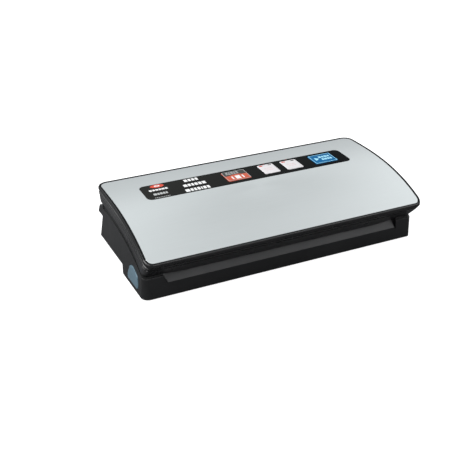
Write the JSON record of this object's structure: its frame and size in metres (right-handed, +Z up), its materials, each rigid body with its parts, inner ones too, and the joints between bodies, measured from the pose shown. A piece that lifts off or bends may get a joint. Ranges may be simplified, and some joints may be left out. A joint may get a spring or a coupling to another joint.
{
  "type": "vacuum sealer",
  "caption": "Household vacuum sealer: a wedge-shaped base with sealing bar and vacuum channel under a hinged, curved metal-topped lid with a control strip.",
  "frame": {"origin": "middle of the bounding box, on the surface that the feet stand on", "axes": "+X to the right along the sealing line, +Y from the front to the hinge, +Z up"},
  "size_m": [0.388, 0.1932, 0.0928],
  "materials": {
    "black_plastic": "fine-textured black ABS",
    "satin_steel": "fine satin brushed stainless sheet",
    "gloss_black": "polished black control strip",
    "red_plastic": "satin red cap",
    "white_plastic": "satin white cap",
    "blue_plastic": "satin blue cap",
    "tinted_plastic": "translucent blue-grey release button, finely ribbed",
    "black_rubber": "matt foot rubber",
    "grey_foam": "closed-cell foam seal",
    "red_silicone": "silicone pressure strip",
    "steel": "plain zinc-plated steel",
    "brass": "plain",
    "ptfe_cloth": "PTFE-coated glass cloth",
    "green_board": "printed circuit board",
    "grey_plastic": "grey nylon",
    "clear_hose": "silicone tube"
  },
  "bodies": {
    "base": {"base_shell": "black_plastic", "front_ledge": "black_plastic", "base_deck": "black_plastic", "bottom_cover": "black_plastic", "appliance_inlet": "black_plastic", "foot_front_left": "black_rubber", "foot_front_right": "black_rubber", "foot_rear_left": "black_rubber", "foot_rear_right": "black_rubber", "lower_gasket": "grey_foam", "heating_wire": "steel", "pump_motor": "steel", "transformer": "steel", "hinge_bracket_left": "steel", "hinge_bracket_right": "steel", "hinge_pin_left": "steel", "hinge_pin_right": "steel", "release_spring_left": "steel", "release_spring_right": "steel", "cover_screw_1": "steel", "cover_screw_2": "steel", "cover_screw_3": "steel", "cover_screw_4": "steel", "inlet_pin_left": "brass", "inlet_pin_right": "brass", "ptfe_tape": "ptfe_cloth", "power_board": "green_board", "heater_bar": "grey_plastic", "suction_port": "grey_plastic", "pump_head": "grey_plastic", "lid_microswitch": "grey_plastic", "air_hose": "clear_hose"},
    "lid": {"lid_frame": "black_plastic", "top_plate": "satin_steel", "control_panel": "gloss_black", "lamp_lens_left": "red_plastic", "lamp_lens_right": "red_plastic", "lid_liner": "black_plastic", "upper_gasket": "grey_foam", "seal_pressure_bar": "red_silicone", "control_board": "green_board", "latch_hook_left": "black_plastic", "latch_hook_right": "black_plastic", "lid_knuckle_left": "steel", "lid_knuckle_right": "steel", "lid_screw_1": "steel", "lid_screw_2": "steel", "lid_screw_3": "steel", "lid_screw_4": "steel"},
    "stop_button": {"stop_button": "red_plastic"},
    "mode_button_left": {"mode_button_left": "white_plastic"},
    "mode_button_right": {"mode_button_right": "white_plastic"},
    "start_button": {"start_button": "blue_plastic"},
    "release_left": {"release_button_left": "tinted_plastic", "release_catch_left": "black_plastic"},
    "release_right": {"release_button_right": "tinted_plastic", "release_catch_right": "black_plastic"},
    "pump_rotor": {"pump_crank": "steel"}
  },
  "joints": [
    {"name": "lid_hinge", "type": "hinge", "parent": "base", "child": "lid", "pos_m": [0, 0.0869, 0.068], "axis": [-1, 0, 0], "range_deg": [0, 65]},
    {"name": "stop_button_press", "type": "slide", "parent": "lid", "child": "stop_button", "axis": [0, 0.0469, -0.9989], "range_m": [0, 0.0006], "stiffness_N_per_m": 900},
    {"name": "mode_button_left_press", "type": "slide", "parent": "lid", "child": "mode_button_left", "axis": [0, 0.0469, -0.9989], "range_m": [0, 0.0006], "stiffness_N_per_m": 900},
    {"name": "mode_button_right_press", "type": "slide", "parent": "lid", "child": "mode_button_right", "axis": [0, 0.0469, -0.9989], "range_m": [0, 0.0006], "stiffness_N_per_m": 900},
    {"name": "start_button_press", "type": "slide", "parent": "lid", "child": "start_button", "axis": [0, 0.0469, -0.9989], "range_m": [0, 0.0006], "stiffness_N_per_m": 900},
    {"name": "release_left_press", "type": "slide", "parent": "base", "child": "release_left", "axis": [1, 0, 0], "range_m": [0, 0.003], "stiffness_N_per_m": 500, "deforming": ["release_spring_left"]},
    {"name": "release_right_press", "type": "slide", "parent": "base", "child": "release_right", "axis": [-1, 0, 0], "range_m": [0, 0.003], "stiffness_N_per_m": 500, "deforming": ["release_spring_right"]},
    {"name": "pump_spin", "type": "hinge", "parent": "base", "child": "pump_rotor", "pos_m": [0.075, 0.0506, 0.0315], "axis": [1, 0, 0], "continuous": true}
  ]
}
